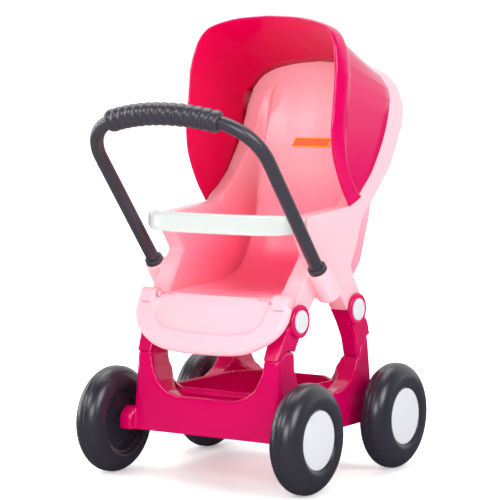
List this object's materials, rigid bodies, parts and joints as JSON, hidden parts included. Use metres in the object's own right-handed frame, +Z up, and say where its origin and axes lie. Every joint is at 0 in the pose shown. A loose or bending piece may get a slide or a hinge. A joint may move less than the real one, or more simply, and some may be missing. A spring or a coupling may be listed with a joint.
{
  "type": "doll stroller",
  "caption": "Toy doll stroller of moulded plastic with a hooded seat, arched push handle, bumper bar, fold-up footrest, open leg frame, storage basket and rolling wheels.",
  "frame": {"origin": "on the floor below the middle of the stroller's overall length and width", "axes": "+X to the stroller's right side as seen from the handle side looking at the seat, -Y towards the push handle and footrest, +Z up"},
  "size_m": [0.309, 0.3908, 0.5494],
  "materials": {
    "seat_pink": "satin moulded polypropylene, pale pink",
    "raspberry": "glossy moulded polypropylene, raspberry",
    "tyre_grey": "satin moulded plastic, dark blue grey",
    "handle_grey": "satin moulded plastic, dark blue grey",
    "cap_grey": "smooth moulded plastic, very pale grey",
    "bumper_white": "glossy moulded plastic, white",
    "axle_steel": "bright drawn steel rod",
    "label": "orange film label with a yellow border"
  },
  "bodies": {
    "frame": {"chassis_base": "raspberry", "storage_basket": "raspberry", "canopy_shell": "raspberry", "seat_shell": "seat_pink", "back_label": "label", "handle_tube": "handle_grey", "handle_grip": "handle_grey", "handle_collar_left": "handle_grey", "handle_collar_right": "handle_grey", "bumper_bar": "bumper_white", "front_axle": "axle_steel", "rear_axle": "axle_steel", "axle_retainers": "axle_steel", "leg_front_left": "raspberry", "leg_front_right": "raspberry", "leg_rear_left": "raspberry", "leg_rear_right": "raspberry", "leg_pin_front_left": "cap_grey", "leg_pin_front_right": "cap_grey", "leg_pin_rear_left": "cap_grey", "leg_pin_rear_right": "cap_grey", "footrest_pin_left": "seat_pink", "footrest_pin_right": "seat_pink"},
    "wheel_front_left": {"wheel_front_left": "tyre_grey", "hub_cap_front_left": "cap_grey"},
    "wheel_front_right": {"wheel_front_right": "tyre_grey", "hub_cap_front_right": "cap_grey"},
    "wheel_rear_left": {"wheel_rear_left": "tyre_grey", "hub_cap_rear_left": "cap_grey"},
    "wheel_rear_right": {"wheel_rear_right": "tyre_grey", "hub_cap_rear_right": "cap_grey"},
    "footrest": {"footrest": "seat_pink"}
  },
  "joints": [
    {"name": "wheel_front_left_spin", "type": "hinge", "parent": "frame", "child": "wheel_front_left", "pos_m": [-0.136, -0.08857, 0.064], "axis": [1, 0, 0], "continuous": true},
    {"name": "wheel_front_right_spin", "type": "hinge", "parent": "frame", "child": "wheel_front_right", "pos_m": [0.136, -0.08857, 0.064], "axis": [1, 0, 0], "continuous": true},
    {"name": "wheel_rear_left_spin", "type": "hinge", "parent": "frame", "child": "wheel_rear_left", "pos_m": [-0.136, 0.11443, 0.064], "axis": [1, 0, 0], "continuous": true},
    {"name": "wheel_rear_right_spin", "type": "hinge", "parent": "frame", "child": "wheel_rear_right", "pos_m": [0.136, 0.11443, 0.064], "axis": [1, 0, 0], "continuous": true},
    {"name": "footrest_fold", "type": "hinge", "parent": "frame", "child": "footrest", "pos_m": [0, -0.07157, 0.2167], "axis": [-1, 0, 0], "range_deg": [0, 63]}
  ]
}
